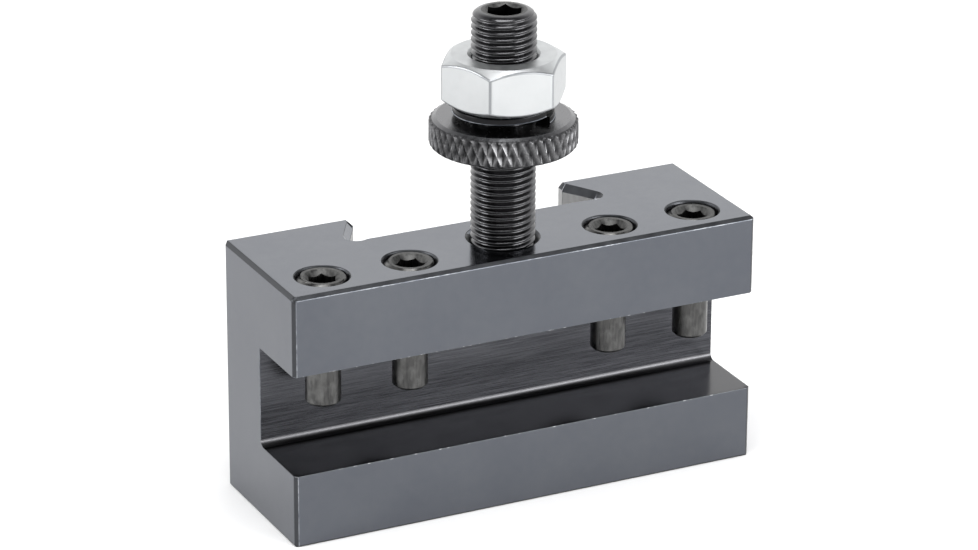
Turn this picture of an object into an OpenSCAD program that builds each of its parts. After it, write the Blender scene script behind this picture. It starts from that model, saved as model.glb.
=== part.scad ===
// Turning and facing tool holder for a quick change tool post.
// A steel block with a tool slot in front, four clamp screws over the slot, a dovetail groove
// behind, and a stud that carries a knurled height nut, a spring washer and a lock nut.
// Origin: centre of the block's bottom face. +Z is up, -Y is the slot side, +Y the dovetail side.

/* [Body] */
// Length of the block, along the tool shank
body_length = 77; // [74:0.5:82]
// Depth of the block, from the slot side to the dovetail side
body_depth = 25.5; // [25:0.5:28]
// Height of the block
body_height = 40; // [39:0.5:44]
// Chamfer on the end edges and the front top edge
edge_chamfer = 0.5; // [0.2:0.1:0.8]
// Broken edge around the bottom
bottom_chamfer = 0.2; // [0.1:0.1:0.4]

/* [Tool slot] */
// Height of the slot floor over the bottom face
slot_floor = 11.5; // [10:0.5:12]
// Clear height of the slot
slot_height = 15.9; // [13:0.1:16]
// Depth of the slot from the front face
slot_depth = 12.7; // [10:0.1:12.8]
// Fillet between the slot floor and the slot back wall
slot_fillet = 1; // [0.3:0.1:1.5]

/* [Dovetail groove] */
// Half width of the groove at its mouth
groove_mouth = 17.8; // [14:0.1:18]
// Depth of the groove from the back face
groove_depth = 8.5; // [7:0.1:8.8]
// Angle of each flank from the groove floor
flank_angle = 60; // [55:1:65]
// Flat land at each lip of the mouth
mouth_land = 1.3; // [0.5:0.1:2]
// Fillet in each floor corner
groove_fillet = 1; // [0.5:0.1:1.2]
// Lead-in chamfer at the top of each flank
lead_in = 1; // [0.5:0.1:1.2]
// Length of each flank, next to the floor corner, that the lead-in chamfer leaves out
lead_in_stop = 2.5; // [1.8:0.1:4]
// Lead-in chamfer at the top of each lip
lip_lead_in = 0.7; // [0.3:0.1:1.2]

/* [Clamp screws] */
// Distance of the inner pair of screws from the middle
clamp_inner_x = 16.75; // [16:0.25:20]
// Distance of the outer pair of screws from the middle
clamp_outer_x = 31; // [28:0.25:32]
// Distance of the screws behind the front face
clamp_setback = 6.35; // [6:0.05:7]
// Thread diameter of a clamp screw
clamp_diameter = 8; // [6:1:8]
// Overall length of a clamp screw
clamp_length = 20; // [19:0.1:21]
// Diameter of the plain pilot that presses on the tool
pilot_diameter = 5.4; // [4.5:0.1:5.5]
// Length of the pilot
pilot_length = 6.5; // [4:0.1:8]
// Hex key size of a clamp screw
clamp_key = 4; // [3:0.5:4]
// Depth of the key socket
clamp_socket = 5; // [4:0.5:6]
// Mouth diameter of the cone that leads into the key socket
clamp_key_mouth = 5.6; // [4.7:0.1:6]
// Mouth diameter of the countersink over each screw
clamp_sink = 8.6; // [8.2:0.1:9.4]

/* [Height stud] */
// Thread diameter of the stud
stud_diameter = 9.84; // [9.8:0.01:9.88]
// Distance of the stud axis behind the front face
stud_setback = 9.05; // [8.5:0.05:9.5]
// Height of the stud over the block
stud_reach = 36; // [34:0.1:40]
// Gap between the stud's lower end and the slot ceiling
stud_end_gap = 0.5; // [0.2:0.1:2]
// Diameter of the flat on each rounded end
stud_flat = 6.9; // [6.4:0.1:8.6]
// Length of the rounding
stud_taper = 1.4; // [0.6:0.1:2]
// Hex key size of the stud
stud_key = 5; // [4:0.5:5]
// Depth of the stud's key socket
stud_socket = 7; // [5:0.5:10]
// Mouth diameter of the cone that leads into the key socket
stud_key_mouth = 6; // [5.8:0.1:6.6]
// Mouth diameter of the countersink around the stud
stud_sink = 11.3; // [10.4:0.1:12]

/* [Height nut] */
// Height of the knurled nut's underside over the block
nut_gap = 15; // [4:0.1:17]
// Diameter over the knurl
knurl_diameter = 22.4; // [20:0.1:24]
// Thickness of the knurled nut
knurl_thickness = 4.4; // [3:0.1:6]
// Width of the bevel on the upper rim
knurl_bevel = 1.1; // [0.4:0.1:1.4]
// Height of that bevel
knurl_bevel_height = 0.5; // [0.3:0.1:1]
// Bevel on the lower rim
knurl_lower_bevel = 0.4; // [0.2:0.1:0.8]

/* [Lock washer and lock nut] */
// Outer diameter of the spring washer
washer_diameter = 15.5; // [15:0.1:16]
// Height that the spring washer takes up between the nuts
washer_height = 2.3; // [2:0.1:3]
// Width of the washer's split
washer_split = 0.8; // [0.4:0.1:1.5]
// Direction of the split around the stud
washer_split_turn = -57; // [-180:1:180]
// Size across the flats of the lock nut
nut_flats = 17; // [16:0.5:18]
// Height of the lock nut
nut_height = 7.5; // [6:0.1:8.4]
// Turn of the lock nut's flats about the stud
nut_turn = -8.4; // [-30:0.1:30]

/* [Hidden] */
$fn = 96;

// Radial running clearance between an external and an internal thread
thread_clearance = 0.05;
// Radial clearance of the washer around the stud
washer_clearance = 0.38;
// Overshoot that keeps cuts clear of the faces that they leave
over = 1;
// Hexagons are true six-sided polygons
HEX = 6;
// Share of the flats that stays flat inside the nut's corner chamfer
nut_face_share = 0.93;
nut_chamfer_angle = 30;
nut_sink = 0.5;
pilot_chamfer = 0.4;
thread_shoulder = 0.8;
// Flats that stand in for the curve of a rounded stud end
end_steps = 6;
clamp_chamfer = 0.55;
// Height of each clamp screw's top below the top face
clamp_recess = [0, 0, 0.1, 0.3];
// Turn of each clamp screw about its own axis
clamp_turn = [8, -18, -26, -33];

front_y = -body_depth / 2;
back_y = body_depth / 2;
half_length = body_length / 2;
slot_ceiling = slot_floor + slot_height;
slot_back_y = front_y + slot_depth;
groove_floor_y = back_y - groove_depth;
// Sideways growth of the groove from its land to its floor
flank_run = (groove_depth - mouth_land) / tan(flank_angle);
groove_floor_x = groove_mouth + flank_run;
clamp_y = front_y + clamp_setback;
clamp_x = [-clamp_outer_x, -clamp_inner_x, clamp_inner_x, clamp_outer_x];
clamp_radius = clamp_diameter / 2 - thread_clearance;
stud_y = front_y + stud_setback;
stud_radius = stud_diameter / 2;
stud_bottom = slot_ceiling + stud_end_gap;
stud_top = body_height + stud_reach;
nut_bore = stud_radius + thread_clearance;
knurl_bottom = body_height + nut_gap;
knurl_top = knurl_bottom + knurl_thickness;
lock_nut_bottom = knurl_top + washer_height;

// Bar along X whose 45 degree faces cut a chamfer of the given leg off an edge on the X axis
module chamfer_bar(length, leg) {
    rotate([45, 0, 0])
        cube([length, leg * sqrt(2), leg * sqrt(2)], center = true);
}

// Cone that opens a hole of the given radius to a wider mouth at z = 0, with 45 degree walls
module countersink(mouth_radius, hole_radius) {
    depth = mouth_radius - hole_radius;
    translate([0, 0, -depth])
        cylinder(h = depth + over, r1 = hole_radius, r2 = mouth_radius + over);
}

// Hexagonal bar along Z, measured across its flats
module hex_bar(flats, length) {
    cylinder(h = length, d = flats / cos(180 / HEX), $fn = HEX);
}

// Key socket that goes down from z = 0, with a cone leading into it
module key_socket(flats, depth, mouth_diameter) {
    translate([0, 0, -depth])
        hex_bar(flats, depth + over);
    countersink(mouth_diameter / 2, flats / 2);
}

// Section of the tool slot in the plane across the block, as [distance behind front, height]
module slot_section() {
    inner = slot_depth;
    polygon([
        [-over, slot_floor],
        [inner - slot_fillet, slot_floor],
        [inner, slot_floor + slot_fillet],
        [inner, slot_ceiling],
        [-over, slot_ceiling]
    ]);
    translate([inner - slot_fillet, slot_floor + slot_fillet])
        circle(r = slot_fillet);
}

module tool_slot() {
    translate([-half_length - over, front_y, 0])
        rotate([90, 0, 90])
            linear_extrude(body_length + 2 * over)
                slot_section();
}

// Plan of the dovetail groove, with a round fillet in each acute floor corner
module groove_plan() {
    half_corner = flank_angle / 2;
    // Distance from the sharp corner to where the fillet meets each wall
    tangent = groove_fillet / tan(half_corner);
    flank_x = groove_floor_x - tangent * cos(flank_angle);
    flank_y = groove_floor_y + tangent * sin(flank_angle);
    polygon([
        [groove_mouth, back_y + over],
        [groove_mouth, back_y - mouth_land],
        [flank_x, flank_y],
        [groove_floor_x - tangent, groove_floor_y],
        [-groove_floor_x + tangent, groove_floor_y],
        [-flank_x, flank_y],
        [-groove_mouth, back_y - mouth_land],
        [-groove_mouth, back_y + over]
    ]);
    for (side = [-1, 1])
        translate([side * (groove_floor_x - tangent), groove_floor_y + groove_fillet])
            circle(r = groove_fillet);
}

// Chamfer along the top edge of the flank and of the lip, on the +X side of the groove,
// with the round end that the chamfer tool leaves next to the floor corner
module groove_lead_in() {
    // Distance from the sharp floor corner to the lip, along the flank
    flank_length = (groove_depth - mouth_land) / sin(flank_angle);
    bar_length = flank_length - lead_in_stop;
    translate([groove_floor_x, groove_floor_y, body_height])
        rotate([0, 0, 180 - flank_angle]) {
            translate([lead_in_stop + bar_length / 2, 0, 0])
                chamfer_bar(bar_length, lead_in);
            translate([lead_in_stop, groove_fillet, 0])
                countersink(groove_fillet + lead_in, groove_fillet);
        }
    translate([groove_mouth, back_y, body_height])
        rotate([0, 0, 90])
            chamfer_bar(2 * mouth_land, lip_lead_in);
}

module holder_body() {
    color([0.36, 0.38, 0.41])
    difference() {
        translate([-half_length, front_y, 0])
            cube([body_length, body_depth, body_height]);

        // Front top edge
        translate([0, front_y, body_height])
            chamfer_bar(body_length + 2 * over, edge_chamfer);
        // Broken edges along the bottom
        for (y = [front_y, back_y])
            translate([0, y, 0])
                chamfer_bar(body_length + 2 * over, bottom_chamfer);
        for (side = [-1, 1]) {
            // End edges, along the top and the bottom and down the four corners
            translate([side * half_length, 0, body_height])
                rotate([0, 0, 90])
                    chamfer_bar(body_depth + 2 * over, edge_chamfer);
            translate([side * half_length, 0, 0])
                rotate([0, 0, 90])
                    chamfer_bar(body_depth + 2 * over, bottom_chamfer);
            for (y = [front_y, back_y])
                translate([side * half_length, y, body_height / 2])
                    rotate([0, 90, 0])
                        chamfer_bar(body_height + 2 * over, edge_chamfer);
        }

        tool_slot();
        translate([0, 0, -over])
            linear_extrude(body_height + 2 * over)
                groove_plan();
        groove_lead_in();
        mirror([1, 0, 0])
            groove_lead_in();

        // Clamp screw holes
        for (x = clamp_x)
            translate([x, clamp_y, 0]) {
                translate([0, 0, slot_ceiling - over])
                    cylinder(h = body_height - slot_ceiling + 2 * over, d = clamp_diameter);
                translate([0, 0, body_height])
                    countersink(clamp_sink / 2, clamp_diameter / 2);
            }
        // Stud hole
        translate([0, stud_y, slot_ceiling - over])
            cylinder(h = body_height - slot_ceiling + 2 * over, r = nut_bore);
        translate([0, stud_y, body_height])
            countersink(stud_sink / 2, nut_bore);
    }
}

// Clamp screw with its top at z = 0 and its pilot hanging down
module clamp_screw() {
    color([0.16, 0.16, 0.17])
    difference() {
        rotate_extrude()
            polygon([
                [0, 0],
                [clamp_radius - clamp_chamfer, 0],
                [clamp_radius, -clamp_chamfer],
                [clamp_radius, -clamp_length + pilot_length + thread_shoulder],
                [pilot_diameter / 2, -clamp_length + pilot_length],
                [pilot_diameter / 2, -clamp_length + pilot_chamfer],
                [pilot_diameter / 2 - pilot_chamfer, -clamp_length],
                [0, -clamp_length]
            ]);
        key_socket(clamp_key, clamp_socket, clamp_key_mouth);
    }
}

module placed_clamp_screw(index) {
    translate([clamp_x[index], clamp_y, body_height - clamp_recess[index]])
        rotate([0, 0, clamp_turn[index]])
            clamp_screw();
}

module clamp_screw_1() { placed_clamp_screw(0); }
module clamp_screw_2() { placed_clamp_screw(1); }
module clamp_screw_3() { placed_clamp_screw(2); }
module clamp_screw_4() { placed_clamp_screw(3); }

// Point on the rounded end at the given height, from its flat out to the full radius
function stud_end(i, height, inwards) =
    let (a = 90 * i / end_steps)
    [stud_flat / 2 + (stud_radius - stud_flat / 2) * sin(a),
     height + inwards * stud_taper * (1 - cos(a))];

// Headless stud, screwed into the block and keyed from the top
module height_stud() {
    color([0.12, 0.12, 0.13])
    translate([0, stud_y, 0])
        difference() {
            rotate_extrude()
                polygon(concat(
                    [[0, stud_bottom]],
                    [for (i = [0:end_steps]) stud_end(i, stud_bottom, 1)],
                    [for (i = [end_steps:-1:0]) stud_end(i, stud_top, -1)],
                    [[0, stud_top]]
                ));
            translate([0, 0, stud_top])
                key_socket(stud_key, stud_socket, stud_key_mouth);
        }
}

// Knurled disc whose underside rests on the tool post and sets the tool's height
module height_nut() {
    rim = knurl_diameter / 2;
    color([0.22, 0.22, 0.23])
    translate([0, stud_y, 0])
        rotate_extrude()
            polygon([
                [nut_bore + nut_sink, knurl_bottom],
                [rim - knurl_lower_bevel, knurl_bottom],
                [rim, knurl_bottom + knurl_lower_bevel],
                [rim, knurl_top - knurl_bevel_height],
                [rim - knurl_bevel, knurl_top],
                [nut_bore + nut_sink, knurl_top],
                [nut_bore, knurl_top - nut_sink],
                [nut_bore, knurl_bottom + nut_sink]
            ]);
}

// Split spring washer, at the height that the tightened lock nut leaves it
module lock_washer() {
    color([0.10, 0.10, 0.11])
    translate([0, stud_y, knurl_top])
        difference() {
            cylinder(h = washer_height, d = washer_diameter);
            translate([0, 0, -over])
                cylinder(h = washer_height + 2 * over, r = stud_radius + washer_clearance);
            rotate([0, 0, washer_split_turn])
                translate([0, -washer_split / 2, -over])
                    cube([washer_diameter, washer_split, washer_height + 2 * over]);
        }
}

// Hexagon nut with both ends chamfered
module lock_nut() {
    corner = nut_flats / 2 / cos(180 / HEX) + over;
    face = nut_face_share * nut_flats / 2;
    drop = (corner - face) * tan(nut_chamfer_angle);
    color([0.86, 0.87, 0.88])
    translate([0, stud_y, lock_nut_bottom])
        intersection() {
            rotate([0, 0, nut_turn])
                hex_bar(nut_flats, nut_height);
            rotate_extrude()
                polygon([
                    [nut_bore + nut_sink, 0],
                    [face, 0],
                    [corner, drop],
                    [corner, nut_height - drop],
                    [face, nut_height],
                    [nut_bore + nut_sink, nut_height],
                    [nut_bore, nut_height - nut_sink],
                    [nut_bore, nut_sink]
                ]);
        }
}

holder_body();
clamp_screw_1();
clamp_screw_2();
clamp_screw_3();
clamp_screw_4();
height_stud();
height_nut();
lock_washer();
lock_nut();
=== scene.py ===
import math

import bmesh
import bpy
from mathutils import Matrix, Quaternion, Vector


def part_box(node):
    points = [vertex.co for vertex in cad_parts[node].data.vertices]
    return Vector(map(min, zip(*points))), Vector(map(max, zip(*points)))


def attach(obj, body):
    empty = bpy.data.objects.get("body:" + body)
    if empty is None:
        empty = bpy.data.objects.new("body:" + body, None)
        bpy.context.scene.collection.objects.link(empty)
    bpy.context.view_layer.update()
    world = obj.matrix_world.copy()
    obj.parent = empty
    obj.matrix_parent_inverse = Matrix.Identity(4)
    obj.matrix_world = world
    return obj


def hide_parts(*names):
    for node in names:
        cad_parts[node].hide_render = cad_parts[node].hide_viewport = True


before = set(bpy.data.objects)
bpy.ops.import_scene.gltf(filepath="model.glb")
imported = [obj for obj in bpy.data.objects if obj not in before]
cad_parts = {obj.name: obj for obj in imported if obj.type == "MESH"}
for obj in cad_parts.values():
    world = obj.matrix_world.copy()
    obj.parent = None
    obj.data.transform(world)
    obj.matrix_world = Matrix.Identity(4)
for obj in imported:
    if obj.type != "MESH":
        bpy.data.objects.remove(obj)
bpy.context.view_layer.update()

# The looks of a turning and facing tool holder, built around its CAD frame.
# Shapes are worked out in millimetres and written in metres, in the frame's own axes.

MM = 0.001

# Camera, round the block's centre line
CAMERA_AZIMUTH = -26.4
CAMERA_ELEVATION = 22.15
CAMERA_ROLL = 0.31
CAMERA_DISTANCE = 660
CAMERA_AIM = (1.57, 4.04, 30.6)
CAMERA_LENS = 158.9
SENSOR_WIDTH = 36.0

# Studio, in metres and watts. A light is its name, azimuth, elevation, size and power.
LIGHTS = (
    ("left_soft", -106, 20, (0.5, 0.25), 4),
    ("right_soft", 36, 12, (0.7, 0.32), 8),
    ("overhead", CAMERA_AZIMUTH, 75, (0.6, 0.6), 7),
)
LIGHT_DISTANCE = 1.0
LIGHT_AIM = (0, 0, 0.03)
FLOOR_HALF = 3.0
WORLD_STRENGTH = 1.5
WORLD_BEHIND_CAMERA = 0.25

# Threads, as pitch in mm. Crest and root widths are shares of the pitch.
STUD_PITCH = 1.0
CLAMP_PITCH = 1.25
CREST_HALF = 1 / 16
ROOT_HALF = 1 / 12
FLANK_ANGLE = 30
THREAD_GAP = 0.05
THREAD_COLUMNS = 120

# Body
MERGE = 0.001
FINE_MERGE = 0.0001
FLAT_ANGLE = 0.5
CORNER_ANGLE = 25
EDGE_ROUND = 0.08
LONG_EDGE = 0.6
CHAMFER_REACH = 0.7
FRONT_FACING = 0.6
CORNER_REACH = 1.0

# Screws and stud
CLAMP_KEY = 4.0
CLAMP_SOCKET = 5.0
CLAMP_KEY_MOUTH = 5.6
CLAMP_CHAMFER = 0.55
PILOT_RADIUS = 2.7
PILOT_LENGTH = 6.5
PILOT_CHAMFER = 0.4
PILOT_MARGIN = 0.3
THREAD_SHOULDER = 0.8
CLAMP_TURNS = (8, -18, -26, -33)
STUD_KEY = 5.0
STUD_SOCKET = 7.0
STUD_KEY_MOUTH = 6.0
STUD_FLAT = 6.9
STUD_TAPER = 1.4
STUD_MARGIN = 0.1
DRILL_POINT = 30

# Height nut
KNURLS = 46
KNURL_STEPS = 12
KNURL_ROWS = 15
KNURL_DEPTH = 0.5
KNURL_RIDGE_DROPS = (0.08, 0.0)
KNURL_BEVEL = 1.1
KNURL_BEVEL_HEIGHT = 0.5
KNURL_LOWER_BEVEL = 0.4
KNURL_RUBBED = 0.35
NUT_SINK = 0.5

# Lock washer
WASHER_THICKNESS = 1.0
WASHER_SPLIT = 8
WASHER_TURN = -57
WASHER_ROUND = 0.15
WASHER_BURR = 0.08
WASHER_GAP = 0.38
WASHER_STEPS = 120

# Lock nut
NUT_FLATS = 17.0
NUT_TURN = -8.4
NUT_FACE_SHARE = 0.93
NUT_CHAMFER_ANGLE = 30
NUT_COLUMNS = 144
NUT_EDGE_ROUND = 0.25


def centre_and_size(node):
    """Centre and size of a CAD node's box, in mm."""
    low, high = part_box(node)
    return (low + high) / 2 / MM, (high - low) / MM


body_centre, body_size = centre_and_size("holder_body")
stud_centre, stud_size = centre_and_size("height_stud")
nut_centre, nut_size = centre_and_size("height_nut")
washer_centre, washer_size = centre_and_size("lock_washer")
lock_centre, lock_size = centre_and_size("lock_nut")
stud_radius = stud_size.x / 2
stud_axis = Vector((stud_centre.x, stud_centre.y, 0))
nut_bore = stud_radius + THREAD_GAP


# ---------------------------------------------------------------- turned shapes

def hexagon(flats, angle):
    """Distance from the axis to the side of a hexagon that has a corner at angle 0."""
    sixth = math.pi / 3
    return flats / 2 / math.cos(angle % sixth - sixth / 2)


def thread_fall(turns, pitch):
    """Depth below the crest, at a point that lies this many turns along from a crest line."""
    away = abs((turns + 0.5) % 1 - 0.5)
    deepest = (0.5 - CREST_HALF - ROOT_HALF) * pitch / math.tan(math.radians(FLANK_ANGLE))
    fall = (away - CREST_HALF) * pitch / math.tan(math.radians(FLANK_ANGLE))
    return min(max(fall, 0), deepest)


def thread_rows():
    """Places of the mesh rows within one pitch, closest together at the crest and the root."""
    flank = 0.5 - CREST_HALF - ROOT_HALF
    rows = [-CREST_HALF, CREST_HALF]
    rows += [CREST_HALF + flank * step / 3 for step in (1, 2, 3)]
    rows += [1 - CREST_HALF - flank * step / 3 for step in (3, 2, 1)]
    return rows


class Turned:
    """A mesh turned about Z. A ring is a list of vertices, one for each column."""

    def __init__(self, columns):
        self.mesh = bmesh.new()
        self.columns = columns

    def angle(self, column):
        return 2 * math.pi * column / self.columns

    def point(self, column, radius, height):
        angle = self.angle(column)
        place = Vector((radius * math.cos(angle), radius * math.sin(angle), height))
        return self.mesh.verts.new(place * MM)

    def ring(self, radius, height):
        """radius and height are each a number or a function of the column's angle."""
        vertices = []
        for column in range(self.columns):
            angle = self.angle(column)
            r = radius(angle) if callable(radius) else radius
            z = height(angle) if callable(height) else height
            vertices.append(self.point(column, r, z))
        return vertices

    def skin(self, *rings, worn=False):
        """Joins rings up. Worn faces take the piece's second material."""
        for lower, upper in zip(rings, rings[1:]):
            for i in range(self.columns):
                j = (i + 1) % self.columns
                face = self.mesh.faces.new((lower[i], lower[j], upper[j], upper[i]))
                face.material_index = int(worn)

    def point_cap(self, ring, height):
        tip = self.mesh.verts.new((0, 0, height * MM))
        for i in range(self.columns):
            self.mesh.faces.new((ring[i], ring[(i + 1) % self.columns], tip))

    def thread(self, radius, pitch, bottom, top, inner=False):
        """A threaded wall from bottom to top. radius(turns, height) gives its distance from the axis.
        Rows follow the helix and are held at the two ends. Returns its lowest and highest ring."""
        places = thread_rows()
        first = math.floor(bottom / pitch) - 2
        last = math.ceil(top / pitch) + 1
        heights = [(n + place) * pitch for n in range(first, last) for place in places]
        grid = []
        for column in range(self.columns):
            lead = column / self.columns
            line = []
            for height in heights:
                z = min(max(height + lead * pitch, bottom), top)
                line.append(self.point(column, radius(z / pitch - lead, z), z))
            grid.append(line)
        shift = len(places)
        for column in range(self.columns):
            wraps = column == self.columns - 1
            here, there = grid[column], grid[0 if wraps else column + 1]
            offset = shift if wraps else 0
            for row in range(len(heights) - 1 - offset):
                corners = (here[row], there[row + offset], there[row + offset + 1], here[row + 1])
                self.mesh.faces.new(corners)
        return [line[0] for line in grid], [line[-1] for line in grid]

    def finish(self, name, sharp=30, smooth_from=None):
        """Closes the mesh up and returns it as an object. Edges that lie further than smooth_from
        from the axis, and below the top, are shaded as rounded."""
        bmesh.ops.remove_doubles(self.mesh, verts=self.mesh.verts, dist=FINE_MERGE * MM)
        bmesh.ops.recalc_face_normals(self.mesh, faces=self.mesh.faces)
        piece = make_object(name, self.mesh, sharp)
        if smooth_from is None:
            return piece
        places = [v.co / MM for v in piece.data.vertices]
        top = max(place.z for place in places)
        for e in piece.data.edges:
            ends = [places[i] for i in e.vertices]
            if all(math.hypot(p.x, p.y) > smooth_from and p.z < top - MERGE for p in ends):
                e.use_edge_sharp = False
        return piece


def make_object(name, mesh, sharp=30):
    data = bpy.data.meshes.new(name)
    mesh.to_mesh(data)
    mesh.free()
    data.shade_smooth()
    data.set_sharp_from_angle(angle=math.radians(sharp))
    piece = bpy.data.objects.new(name, data)
    bpy.context.scene.collection.objects.link(piece)
    return piece


def key_socket(part, flats, top, depth, mouth_diameter, rim, worn_rim=False):
    """Hexagonal key socket in a flat end at height top, from the ring rim inwards. A cone of 45
    degrees leads into it."""
    mouth = part.ring(mouth_diameter / 2, top)
    edge = part.ring(lambda a: hexagon(flats, a), lambda a: top - mouth_diameter / 2 + hexagon(flats, a))
    floor = part.ring(lambda a: hexagon(flats, a), top - depth)
    part.skin(rim, mouth, edge, worn=worn_rim)
    part.skin(edge, floor)
    part.point_cap(floor, top - depth - flats / 2 * math.tan(math.radians(DRILL_POINT)))


def straight_end(distance):
    """How much smaller a clamp screw is at this distance from its chamfered end."""
    return max(CLAMP_CHAMFER - distance, 0)


def rounded_end(distance):
    """How much smaller the stud is at this distance from its rounded end."""
    share = max(1 - distance / STUD_TAPER, 0)
    return (stud_radius - STUD_FLAT / 2) * (1 - math.sqrt(1 - share ** 2))


def external_thread(crest, pitch, ends, end_loss):
    """Radius of an outside thread whose ends are at the heights in ends."""
    def radius(turns, height):
        shape = crest - thread_fall(turns, pitch)
        for end in ends:
            shape = min(shape, crest - end_loss(abs(height - end)))
        return shape
    return radius


# ---------------------------------------------------------------- pieces

def clamp_screw(number):
    node = "clamp_screw_%d" % number
    centre, size = centre_and_size(node)
    top, bottom = size.z, 0.0
    crest = size.x / 2
    part = Turned(THREAD_COLUMNS)
    shoulder = bottom + PILOT_LENGTH
    radius = external_thread(crest, CLAMP_PITCH, [top], straight_end)
    low_ring, high_ring = part.thread(radius, CLAMP_PITCH, shoulder + THREAD_SHOULDER, top)
    neck = part.ring(PILOT_RADIUS, shoulder)
    tip = part.ring(PILOT_RADIUS, bottom + PILOT_CHAMFER)
    end = part.ring(PILOT_RADIUS - PILOT_CHAMFER, bottom)
    part.skin(low_ring, neck, tip)
    part.skin(tip, end, worn=True)
    part.point_cap(end, bottom)
    key_socket(part, CLAMP_KEY, top, CLAMP_SOCKET, CLAMP_KEY_MOUTH, high_ring, worn_rim=True)
    piece = part.finish(node + "_threaded", smooth_from=PILOT_RADIUS + PILOT_MARGIN)
    piece.location = Vector((centre.x, centre.y, centre.z - size.z / 2)) * MM
    piece.rotation_euler.z = math.radians(CLAMP_TURNS[number - 1])
    return piece


def height_stud():
    part = Turned(THREAD_COLUMNS)
    bottom = stud_centre.z - stud_size.z / 2
    top = stud_centre.z + stud_size.z / 2
    radius = external_thread(stud_radius, STUD_PITCH, [bottom, top], rounded_end)
    low_ring, high_ring = part.thread(radius, STUD_PITCH, bottom, top)
    part.point_cap(low_ring, bottom)
    key_socket(part, STUD_KEY, top, STUD_SOCKET, STUD_KEY_MOUTH, high_ring, worn_rim=True)
    piece = part.finish("height_stud_threaded", smooth_from=STUD_FLAT / 2 + STUD_MARGIN)
    piece.location = stud_axis * MM
    return piece


def internal_thread(part, bottom, top):
    """Threaded wall of a nut, with both ends opened out to the countersinks' small ends."""
    def radius(turns, height):
        shape = nut_bore - thread_fall(turns, STUD_PITCH)
        for end in (bottom, top):
            shape = max(shape, nut_bore - abs(height - end))
        return shape
    return part.thread(radius, STUD_PITCH, bottom, top)


def knurl_radius(angle, row, rim):
    """Distance from the axis to a rim that two leaning sets of ridges cross. The ridges move over by
    one column in each row, and one set of them stands a little lower."""
    around = angle / (2 * math.pi) * KNURLS
    cuts = []
    for lean, drop in zip((-1, 1), KNURL_RIDGE_DROPS):
        across = (around + lean * row / KNURL_STEPS) % 1
        cuts.append(drop + KNURL_DEPTH * 2 * min(across, 1 - across))
    return rim - min(cuts)


def fold_along_ridges(mesh, faces):
    """Splits each four-sided face along the diagonal that lies further from the axis."""
    for face in faces:
        start, side, end, other_side = face.verts
        if (start.co + end.co).xy.length <= (side.co + other_side.co).xy.length:
            start, end = side, other_side
        bmesh.utils.face_split(face, start, end)


def height_nut():
    """Knurled disc. Its place is its own turning axis, so its thread keeps to the stud's."""
    part = Turned(KNURLS * KNURL_STEPS)
    bottom = nut_centre.z - nut_size.z / 2
    top = nut_centre.z + nut_size.z / 2
    rim = min(nut_size.x, nut_size.y) / 2
    rings = [part.ring(nut_bore + NUT_SINK, bottom)]
    rings.append(part.ring(rim - KNURL_LOWER_BEVEL, bottom))
    for row in range(1, KNURL_ROWS):
        height = bottom + (top - bottom) * row / KNURL_ROWS
        limit = min(
            rim - KNURL_LOWER_BEVEL + height - bottom,
            rim - KNURL_BEVEL + (top - height) * KNURL_BEVEL / KNURL_BEVEL_HEIGHT)
        rings.append(part.ring(lambda a: min(knurl_radius(a, row, rim), limit), height))
    rings.append(part.ring(rim - KNURL_BEVEL, top))
    rings.append(part.ring(nut_bore + NUT_SINK, top))
    part.skin(*rings[1:-2])
    fold_along_ridges(part.mesh, list(part.mesh.faces))
    part.skin(rings[0], rings[1], worn=True)
    part.skin(*rings[-3:], worn=True)
    low_ring, high_ring = internal_thread(part, bottom + NUT_SINK, top - NUT_SINK)
    part.skin(rings[-1], high_ring)
    part.skin(low_ring, rings[0])
    piece = part.finish("height_nut_knurled", sharp=20)
    piece.location = stud_axis * MM
    return piece


def lock_washer():
    """Spring washer: a square-edged bar bent round the stud, with one end sprung up. A small burr
    runs round its lower outer edge, painted bright as a painted highlight."""
    mesh = bmesh.new()
    bottom = washer_centre.z - washer_size.z / 2
    rise = washer_size.z - WASHER_THICKNESS
    outer = washer_size.x / 2
    side = outer - WASHER_BURR
    inner = stud_radius + WASHER_GAP
    corner = WASHER_ROUND
    half_split = math.radians(WASHER_SPLIT) / 2
    section = []
    for x, z, turn in ((side, WASHER_THICKNESS, 0), (inner, WASHER_THICKNESS, 90), (inner, 0, 180)):
        cx = x + (corner if x == inner else -corner)
        cz = z + (corner if z == 0 else -corner)
        for step in range(4):
            a = math.radians(turn + 30 * step)
            section.append((cx + corner * math.cos(a), cz + corner * math.sin(a)))
    burr = len(section)
    section += [(side, 0), (outer, WASHER_BURR), (side, 2 * WASHER_BURR)]
    rings = []
    for step in range(WASHER_STEPS + 1):
        share = step / WASHER_STEPS
        angle = math.radians(WASHER_TURN) + half_split + share * (2 * math.pi - 2 * half_split)
        lift = bottom + rise * share
        ring = []
        for r, z in section:
            place = Vector((r * math.cos(angle), r * math.sin(angle), z + lift))
            ring.append(mesh.verts.new(place * MM))
        rings.append(ring)
    for here, there in zip(rings, rings[1:]):
        for i in range(len(section)):
            j = (i + 1) % len(section)
            face = mesh.faces.new((here[i], here[j], there[j], there[i]))
            # Faces of the burr take the bright second material, a painted highlight along the lower
            # outer edge.
            face.material_index = int(burr <= i < len(section) - 1)
    mesh.faces.new(rings[0])
    mesh.faces.new(list(reversed(rings[-1])))
    bmesh.ops.recalc_face_normals(mesh, faces=mesh.faces)
    piece = make_object("lock_washer_split", mesh, sharp=40)
    piece.location = stud_axis * MM
    return piece


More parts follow.
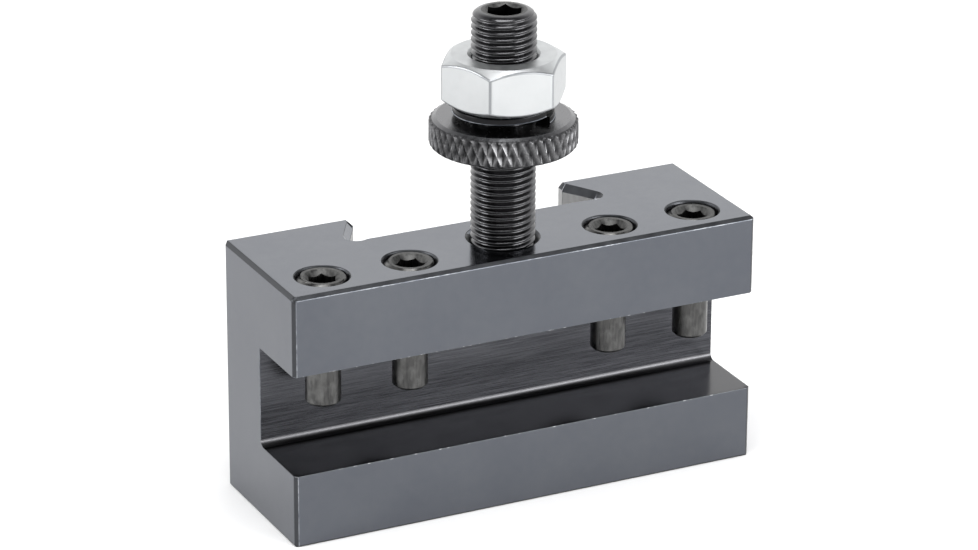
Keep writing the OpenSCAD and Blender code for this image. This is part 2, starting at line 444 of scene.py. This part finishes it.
def lock_nut():
    part = Turned(NUT_COLUMNS)
    bottom = lock_centre.z - lock_size.z / 2
    top = lock_centre.z + lock_size.z / 2
    face = NUT_FACE_SHARE * NUT_FLATS / 2
    slope = math.tan(math.radians(NUT_CHAMFER_ANGLE))
    turn = math.radians(NUT_TURN)

    def side(angle):
        return hexagon(NUT_FLATS, angle)

    rings = [
        part.ring(nut_bore + NUT_SINK, bottom),
        part.ring(face, bottom),
        part.ring(side, lambda a: bottom + (side(a) - face) * slope),
        part.ring(side, lambda a: top - (side(a) - face) * slope),
        part.ring(face, top),
        part.ring(nut_bore + NUT_SINK, top),
    ]
    part.skin(*rings)
    low_ring, high_ring = internal_thread(part, bottom + NUT_SINK, top - NUT_SINK)
    part.skin(rings[-1], high_ring)
    part.skin(low_ring, rings[0])
    bmesh.ops.remove_doubles(part.mesh, verts=part.mesh.verts, dist=FINE_MERGE * MM)
    rim = [
        e for e in part.mesh.edges
        if all(v.co.xy.length > face * MM + MERGE * MM for v in e.verts)
        and e.calc_face_angle(0) > math.radians(CORNER_ANGLE)]
    bmesh.ops.bevel(
        part.mesh, geom=rim, offset=NUT_EDGE_ROUND * MM, segments=2, profile=0.5, affect="EDGES",
        clamp_overlap=False, material=1)
    piece = part.finish("lock_nut_chamfered", sharp=28)
    piece.modifiers.new("even_shading", "WEIGHTED_NORMAL").keep_sharp = True
    piece.location = stud_axis * MM
    piece.rotation_euler.z = turn
    return piece


def holder_body():
    """The CAD block with its faces joined up, its corners a little rounded and its finishes set out."""
    mesh = bmesh.new()
    mesh.from_mesh(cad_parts["holder_body"].data)
    bmesh.ops.remove_doubles(mesh, verts=mesh.verts, dist=MERGE * MM)
    bmesh.ops.dissolve_limit(
        mesh, angle_limit=math.radians(FLAT_ANGLE), verts=mesh.verts, edges=mesh.edges)
    mesh.normal_update()
    for f in mesh.faces:
        f.material_index = FINISHES.index(finish_of(f))
    corners = [
        e for e in mesh.edges
        if e.calc_face_angle(0) > math.radians(CORNER_ANGLE) and e.calc_length() > LONG_EDGE * MM]
    worn = FINISHES.index("worn_edge")
    bmesh.ops.bevel(
        mesh, geom=corners, offset=EDGE_ROUND * MM, segments=2, profile=0.5, affect="EDGES",
        clamp_overlap=False, material=worn)
    cut_off_corners(mesh)
    mesh.normal_update()
    for f in mesh.faces:
        if f.material_index == worn:
            f.material_index = FINISHES.index(edge_finish_of(f))
    piece = make_object("holder_body_machined", mesh, sharp=30)
    piece.modifiers.new("even_shading", "WEIGHTED_NORMAL").keep_sharp = True
    return piece


def cut_off_corners(mesh):
    """Cuts the long faces of the block near its outer corners, so that the rounding of a corner
    doesn't shade the whole length of a chamfer."""
    half = body_size / 2
    for axis, side in ((0, -1), (0, 1), (1, -1), (2, 1)):
        away = Vector((axis == 0, axis == 1, axis == 2)) * side
        place = body_centre + away * (half[axis] - CORNER_REACH)
        everything = mesh.verts[:] + mesh.edges[:] + mesh.faces[:]
        bmesh.ops.bisect_plane(
            mesh, geom=everything, dist=MERGE * MM, plane_co=place * MM, plane_no=away)


FINISHES = ["ground", "seat", "milled", "fillet", "groove", "chamfer", "worn_edge", "lip_edge"]


def finish_of(f):
    """Which finish a face of the block has. The outside is ground and so is the tool's seat. The
    slanted faces next to the outside are darker, all but the groove's on the left. The groove is
    lighter as a painted reflection of the bright studio, and the rest is milled."""
    centre = f.calc_center_median() / MM - body_centre
    gaps = [half - abs(c) for half, c in zip(body_size / 2, centre)]
    facing = [abs(c) for c in f.normal]
    square = max(facing) > 0.999
    if square and gaps[facing.index(max(facing))] < MERGE:
        return "ground"
    if facing[2] > 0.999:
        return "seat"
    if facing[2] > 0.1 and min(gaps) < CHAMFER_REACH:
        return "ground" if centre.y > 0 and f.normal.x > 0.3 else "chamfer"
    if facing[2] < 0.001 and min(gaps) < CHAMFER_REACH and facing[0] > 0.7 and gaps[0] < CHAMFER_REACH:
        return "chamfer"
    if facing[2] < 0.001 and centre.y > 0:
        return "groove"
    if not square and facing[0] < 0.001:
        return "fillet"
    return "milled"


def edge_finish_of(f):
    """Which finish a rounded edge of the block has. The front's top edge and left edge are rubbed
    bright, and the slot's lips only in spots."""
    centre = f.calc_center_median() / MM - body_centre
    left, _, up = (half + c for half, c in zip(body_size / 2, centre))
    if f.normal.y > -FRONT_FACING or up < CHAMFER_REACH:
        return "chamfer"
    if left < CHAMFER_REACH or body_size.z - up < CHAMFER_REACH:
        return "worn_edge"
    if body_size.x - left < CHAMFER_REACH:
        return "chamfer"
    return "lip_edge"


# ---------------------------------------------------------------- materials

class Finish:
    """A Principled material with short calls that add nodes to it."""

    def __init__(self, name, colour, metallic, roughness):
        self.material = bpy.data.materials.new(name)
        self.material.use_nodes = True
        self.tree = self.material.node_tree
        self.shader = self.tree.nodes["Principled BSDF"]
        self.shader.inputs["Base Color"].default_value = (*colour, 1)
        self.shader.inputs["Metallic"].default_value = metallic
        self.shader.inputs["Roughness"].default_value = roughness

    def node(self, kind, **inputs):
        made = self.tree.nodes.new(kind)
        for name, value in inputs.items():
            self.feed(made.inputs[name.replace("_", " ")], value)
        return made

    def feed(self, socket, value):
        if isinstance(value, bpy.types.NodeSocket):
            self.tree.links.new(value, socket)
        else:
            socket.default_value = value

    def place(self, stretch=(1, 1, 1)):
        """Object coordinates in mm, each divided by its stretch."""
        coords = self.node("ShaderNodeTexCoord").outputs["Object"]
        mapping = self.node("ShaderNodeMapping", Vector=coords)
        mapping.inputs["Scale"].default_value = [1 / MM / s for s in stretch]
        return mapping.outputs["Vector"]

    def noise(self, stretch, detail=3.0, roughness=0.5):
        made = self.node("ShaderNodeTexNoise", Vector=self.place(stretch), Scale=1.0, Detail=detail,
                         Roughness=roughness)
        return made.outputs["Fac"]

    def from_axis(self):
        """Distance in mm from the piece's own upright axis."""
        made = self.node("ShaderNodeVectorMath")
        made.operation = "LENGTH"
        self.feed(made.inputs[0], self.place((1, 1, 1e6)))
        return made.outputs["Value"]

    def ramp(self, value, low, high, start=0.0, end=1.0):
        made = self.node("ShaderNodeMapRange", Value=value)
        made.inputs["From Min"].default_value = low
        made.inputs["From Max"].default_value = high
        made.inputs["To Min"].default_value = start
        made.inputs["To Max"].default_value = end
        return made.outputs["Result"]

    def math(self, operation, a, b):
        made = self.node("ShaderNodeMath")
        made.operation = operation
        self.feed(made.inputs[0], a)
        self.feed(made.inputs[1], b)
        return made.outputs[0]

    def mix(self, factor, a, b):
        made = self.node("ShaderNodeMix")
        made.data_type = "RGBA"
        self.feed(made.inputs["Factor"], factor)
        self.feed(made.inputs["A"], (*a, 1) if isinstance(a, tuple) else a)
        self.feed(made.inputs["B"], (*b, 1) if isinstance(b, tuple) else b)
        return made.outputs["Result"]

    def colour(self, value):
        self.feed(self.shader.inputs["Base Color"], value)

    def roughness(self, value):
        self.feed(self.shader.inputs["Roughness"], value)

    def bump(self, height, depth, strength=1.0):
        """Relief of the given depth in mm."""
        made = self.node("ShaderNodeBump", Height=height, Strength=strength, Distance=depth * MM)
        self.feed(self.shader.inputs["Normal"], made.outputs["Normal"])


def ground_oxide():
    f = Finish("ground_black_oxide", (0.11, 0.12, 0.13), 1.0, 0.22)
    grain = f.noise((9, 0.12, 0.12), detail=4)
    cloud = f.noise((14, 14, 14), detail=2)
    patch = f.noise((1.6, 1.6, 1.6), detail=4, roughness=0.6)
    tone = f.math("ADD", f.math("MULTIPLY", cloud, 0.6), f.math("MULTIPLY", patch, 0.4))
    f.colour(f.mix(f.ramp(tone, 0.3, 0.7), (0.106, 0.113, 0.130), (0.126, 0.133, 0.148)))
    f.roughness(f.ramp(grain, 0.3, 0.7, 0.14, 0.20))
    f.bump(grain, 0.001, 0.2)
    return f.material


def seat_oxide():
    f = Finish("seat_black_oxide", (0.10, 0.10, 0.11), 1.0, 0.2)
    cloud = f.noise((6, 2, 2), detail=3)
    f.colour(f.mix(cloud, (0.048, 0.048, 0.051), (0.064, 0.064, 0.067)))
    f.roughness(f.ramp(cloud, 0.3, 0.7, 0.16, 0.22))
    f.bump(cloud, 0.001, 0.2)
    return f.material


def groove_oxide():
    # The groove's walls are painted light grey as a painted reflection of the bright studio; the grain
    # is their own.
    f = Finish("groove_painted_sheen_oxide", (0.3, 0.3, 0.3), 1.0, 0.45)
    grain = f.noise((0.4, 0.4, 6), detail=4)
    f.colour(f.mix(grain, (0.24, 0.24, 0.24), (0.42, 0.42, 0.42)))
    f.roughness(f.ramp(grain, 0.3, 0.7, 0.4, 0.55))
    f.bump(grain, 0.003, 0.4)
    return f.material


def milled_oxide():
    f = Finish("milled_black_oxide", (0.12, 0.125, 0.135), 1.0, 0.3)
    grain = f.noise((7, 0.16, 0.16), detail=5, roughness=0.6)
    f.colour(f.mix(f.ramp(grain, 0.35, 0.75), (0.048, 0.049, 0.055), (0.105, 0.107, 0.117)))
    f.roughness(f.ramp(grain, 0.3, 0.7, 0.22, 0.34))
    f.bump(grain, 0.004, 0.5)
    return f.material


def chamfer_oxide():
    f = Finish("chamfer_black_oxide", (0.06, 0.062, 0.066), 1.0, 0.4)
    grain = f.noise((2, 2, 2), detail=4)
    f.colour(f.mix(grain, (0.045, 0.047, 0.052), (0.070, 0.073, 0.078)))
    f.roughness(f.ramp(grain, 0.3, 0.7, 0.35, 0.5))
    f.bump(grain, 0.003, 0.4)
    return f.material


def worn_edge():
    f = Finish("worn_edge_steel", (0.4, 0.41, 0.42), 1.0, 0.45)
    grain = f.noise((0.7, 0.7, 0.7), detail=4)
    cloud = f.noise((5, 5, 5), detail=2)
    bright = f.math("MULTIPLY", f.ramp(grain, 0.35, 0.60), f.ramp(cloud, 0.35, 0.60))
    f.colour(f.mix(bright, (0.13, 0.14, 0.16), (0.32, 0.335, 0.36)))
    f.roughness(f.ramp(grain, 0.3, 0.7, 0.42, 0.55))
    f.bump(grain, 0.002, 0.4)
    return f.material


def lip_edge():
    f = Finish("lip_edge_steel", (0.2, 0.2, 0.2), 1.0, 0.4)
    spot = f.noise((0.8, 0.8, 0.8), detail=4)
    f.colour(f.mix(f.ramp(spot, 0.58, 0.66), (0.12, 0.13, 0.14), (0.55, 0.56, 0.58)))
    f.roughness(f.ramp(spot, 0.3, 0.7, 0.35, 0.5))
    f.bump(spot, 0.002, 0.4)
    return f.material


def fillet_oxide():
    f = Finish("fillet_black_oxide", (0.2, 0.2, 0.21), 1.0, 0.25)
    grain = f.noise((4, 0.2, 0.2), detail=4)
    f.colour(f.mix(grain, (0.068, 0.068, 0.072), (0.094, 0.094, 0.099)))
    f.roughness(f.ramp(grain, 0.3, 0.7, 0.32, 0.38))
    f.bump(grain, 0.0005, 0.2)
    return f.material


def screw_oxide():
    f = Finish("screw_black_oxide", (0.08, 0.08, 0.085), 1.0, 0.3)
    scratch = f.noise((0.35, 0.35, 3), detail=3)
    spot = f.noise((1.3, 1.3, 2.0), detail=3)
    base = f.mix(f.ramp(scratch, 0.3, 0.7), (0.050, 0.050, 0.050), (0.095, 0.094, 0.092))
    f.colour(f.mix(f.ramp(spot, 0.45, 0.80), base, (0.14, 0.14, 0.137)))
    f.roughness(f.ramp(scratch, 0.3, 0.7, 0.25, 0.38))
    f.bump(scratch, 0.003, 0.4)
    return f.material


def worn_ring():
    f = Finish("worn_ring_steel", (0.2, 0.2, 0.2), 1.0, 0.35)
    grain = f.noise((0.6, 0.6, 0.6), detail=4)
    f.colour(f.mix(f.ramp(grain, 0.35, 0.6), (0.045, 0.045, 0.045), (0.10, 0.10, 0.098)))
    f.roughness(f.ramp(grain, 0.3, 0.7, 0.42, 0.52))
    f.bump(grain, 0.002, 0.4)
    return f.material


def nut_edge():
    f = Finish("zinc_plate_edge", (0.3, 0.31, 0.32), 1.0, 0.4)
    grain = f.noise((1.2, 1.2, 1.2), detail=4)
    f.colour(f.mix(grain, (0.24, 0.25, 0.26), (0.38, 0.39, 0.40)))
    f.roughness(f.ramp(grain, 0.3, 0.7, 0.36, 0.48))
    f.bump(grain, 0.002, 0.4)
    return f.material


def washer_oxide():
    # Darker than the other black oxide: the washer's own black oxide plus painted shade of the narrow
    # gap between the knurled disc and the lock nut.
    f = Finish("washer_oxide_and_painted_shade", (0.03, 0.03, 0.03), 1.0, 0.2)
    grain = f.noise((0.8, 0.8, 0.8), detail=4)
    f.colour(f.mix(grain, (0.012, 0.012, 0.013), (0.022, 0.022, 0.023)))
    f.roughness(f.ramp(grain, 0.3, 0.7, 0.16, 0.26))
    f.bump(grain, 0.002, 0.3)
    return f.material


def oiled_oxide():
    f = Finish("oiled_black_oxide", (0.06, 0.06, 0.062), 1.0, 0.14)
    grain = f.noise((0.6, 0.6, 0.6), detail=4)
    f.colour(f.mix(grain, (0.062, 0.062, 0.065), (0.098, 0.098, 0.101)))
    f.roughness(f.ramp(grain, 0.3, 0.7, 0.16, 0.25))
    f.bump(grain, 0.002, 0.3)
    return f.material


def knurled_oxide():
    f = Finish("knurled_black_oxide", (0.10, 0.10, 0.105), 1.0, 0.3)
    rim = min(nut_size.x, nut_size.y) / 2
    grain = f.noise((0.25, 0.25, 0.25), detail=3)
    height = f.ramp(f.from_axis(), rim - KNURL_RUBBED, rim)
    rubbed = f.math("MULTIPLY", height, f.ramp(grain, 0.3, 0.6, 0.4, 1.0))
    f.colour(f.mix(rubbed, (0.040, 0.040, 0.042), (0.19, 0.19, 0.195)))
    f.roughness(f.ramp(grain, 0.3, 0.7, 0.28, 0.4))
    f.bump(grain, 0.002, 0.4)
    return f.material


def disc_oxide():
    f = Finish("disc_black_oxide", (0.10, 0.10, 0.105), 1.0, 0.25)
    grain = f.noise((0.9, 0.9, 0.9), detail=3)
    f.colour(f.mix(grain, (0.098, 0.098, 0.102), (0.142, 0.142, 0.148)))
    f.roughness(f.ramp(grain, 0.3, 0.7, 0.2, 0.28))
    f.bump(grain, 0.001, 0.3)
    return f.material


def zinc_plate():
    f = Finish("zinc_plate", (0.66, 0.68, 0.70), 1.0, 0.4)
    grain = f.noise((1.2, 1.2, 1.2), detail=5)
    cloud = f.noise((5, 5, 5), detail=2)
    f.colour(f.mix(cloud, (0.49, 0.505, 0.51), (0.55, 0.56, 0.565)))
    f.roughness(f.ramp(grain, 0.3, 0.7, 0.36, 0.48))
    f.bump(grain, 0.004, 0.4)
    return f.material


# ---------------------------------------------------------------- studio

def direction(azimuth, elevation):
    """Unit vector from the object towards a viewer at these angles, in degrees."""
    a, e = math.radians(azimuth), math.radians(elevation)
    return Vector((math.sin(a) * math.cos(e), -math.cos(a) * math.cos(e), math.sin(e)))


def make_camera():
    data = bpy.data.cameras.new("camera")
    data.sensor_width = SENSOR_WIDTH
    data.lens = CAMERA_LENS
    data.clip_start = 0.01
    data.clip_end = 20
    camera = bpy.data.objects.new("camera", data)
    back = direction(CAMERA_AZIMUTH, CAMERA_ELEVATION)
    camera.location = (Vector(CAMERA_AIM) + back * CAMERA_DISTANCE) * MM
    roll = Quaternion((0, 0, 1), math.radians(CAMERA_ROLL))
    camera.rotation_euler = ((-back).to_track_quat("-Z", "Y") @ roll).to_euler()
    bpy.context.scene.collection.objects.link(camera)
    bpy.context.scene.camera = camera


def area_light(name, azimuth, elevation, size, power):
    data = bpy.data.lights.new(name, "AREA")
    data.shape = "RECTANGLE"
    data.size, data.size_y = size
    data.energy = power
    lamp = bpy.data.objects.new(name, data)
    towards = direction(azimuth, elevation)
    lamp.location = towards * LIGHT_DISTANCE + Vector(LIGHT_AIM)
    lamp.rotation_euler = (-towards).to_track_quat("-Z", "Y").to_euler()
    bpy.context.scene.collection.objects.link(lamp)


def make_floor():
    mesh = bmesh.new()
    signs = ((-1, -1), (1, -1), (1, 1), (-1, 1))
    corners = [mesh.verts.new((x * FLOOR_HALF, y * FLOOR_HALF, 0)) for x, y in signs]
    mesh.faces.new(corners)
    floor = make_object("studio_floor", mesh)
    f = Finish("studio_floor", (0.92, 0.92, 0.92), 0.0, 0.9)
    floor.data.materials.append(f.material)


def make_world():
    """White up to 30 degrees over the horizon and dark grey overhead. It is dimmer on the camera's
    side, so that the faces turned to the camera stay dark."""
    world = bpy.data.worlds.new("studio")
    world.use_nodes = True
    tree = world.node_tree
    coords = tree.nodes.new("ShaderNodeTexCoord")
    split = tree.nodes.new("ShaderNodeSeparateXYZ")
    sky = tree.nodes.new("ShaderNodeValToRGB")
    tree.links.new(coords.outputs["Generated"], split.inputs[0])
    tree.links.new(split.outputs["Z"], sky.inputs["Fac"])
    low, high = sky.color_ramp.elements
    low.position = 0.5
    low.color = (1.0, 1.0, 1.0, 1)
    high.position = 0.85
    high.color = (0.12, 0.12, 0.125, 1)
    facing = tree.nodes.new("ShaderNodeVectorMath")
    facing.operation = "DOT_PRODUCT"
    facing.inputs[1].default_value = direction(CAMERA_AZIMUTH, 0)
    tree.links.new(coords.outputs["Generated"], facing.inputs[0])
    shade = tree.nodes.new("ShaderNodeMapRange")
    shade.inputs["From Min"].default_value = 0.3
    shade.inputs["From Max"].default_value = 0.8
    shade.inputs["To Min"].default_value = 1.0
    shade.inputs["To Max"].default_value = WORLD_BEHIND_CAMERA
    tree.links.new(facing.outputs["Value"], shade.inputs["Value"])
    strength = tree.nodes.new("ShaderNodeMath")
    strength.operation = "MULTIPLY"
    strength.inputs[1].default_value = WORLD_STRENGTH
    tree.links.new(shade.outputs["Result"], strength.inputs[0])
    background = tree.nodes["Background"]
    tree.links.new(sky.outputs["Color"], background.inputs["Color"])
    tree.links.new(strength.outputs["Value"], background.inputs["Strength"])
    bpy.context.scene.world = world


make_camera()
make_world()
make_floor()
for light in LIGHTS:
    area_light(*light)
bpy.context.scene.view_settings.view_transform = "Standard"

block_finishes = {
    "ground": ground_oxide(),
    "seat": seat_oxide(),
    "milled": milled_oxide(),
    "fillet": fillet_oxide(),
    "groove": groove_oxide(),
    "chamfer": chamfer_oxide(),
    "worn_edge": worn_edge(),
    "lip_edge": lip_edge(),
}
body = holder_body()
for finish in FINISHES:
    body.data.materials.append(block_finishes[finish])
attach(body, "holder")
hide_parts("holder_body")

worn_material = worn_ring()
screw_material = screw_oxide()
for number in range(1, 5):
    screw = clamp_screw(number)
    screw.data.materials.append(screw_material)
    screw.data.materials.append(worn_material)
    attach(screw, "clamp_screw_%d" % number)
    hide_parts("clamp_screw_%d" % number)

# The block's bright worn-edge material, which on the washer's burr is a painted highlight.
burr_painted_highlight = block_finishes["worn_edge"]
PIECES = (
    (height_stud, (oiled_oxide(), worn_material), "holder", "height_stud", "stud_steel"),
    (height_nut, (knurled_oxide(), disc_oxide()), "height_nut", "height_nut", "knurled_steel"),
    (lock_washer, (washer_oxide(), burr_painted_highlight), "lock_washer", "lock_washer", "washer_steel"),
    (lock_nut, (zinc_plate(), nut_edge()), "lock_nut", "lock_nut", "zinc_plate"),
)
for make, finishes, rides_on, node, slot in PIECES:
    piece = make()
    for finish in finishes:
        piece.data.materials.append(finish)
    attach(piece, rides_on)
    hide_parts(node)
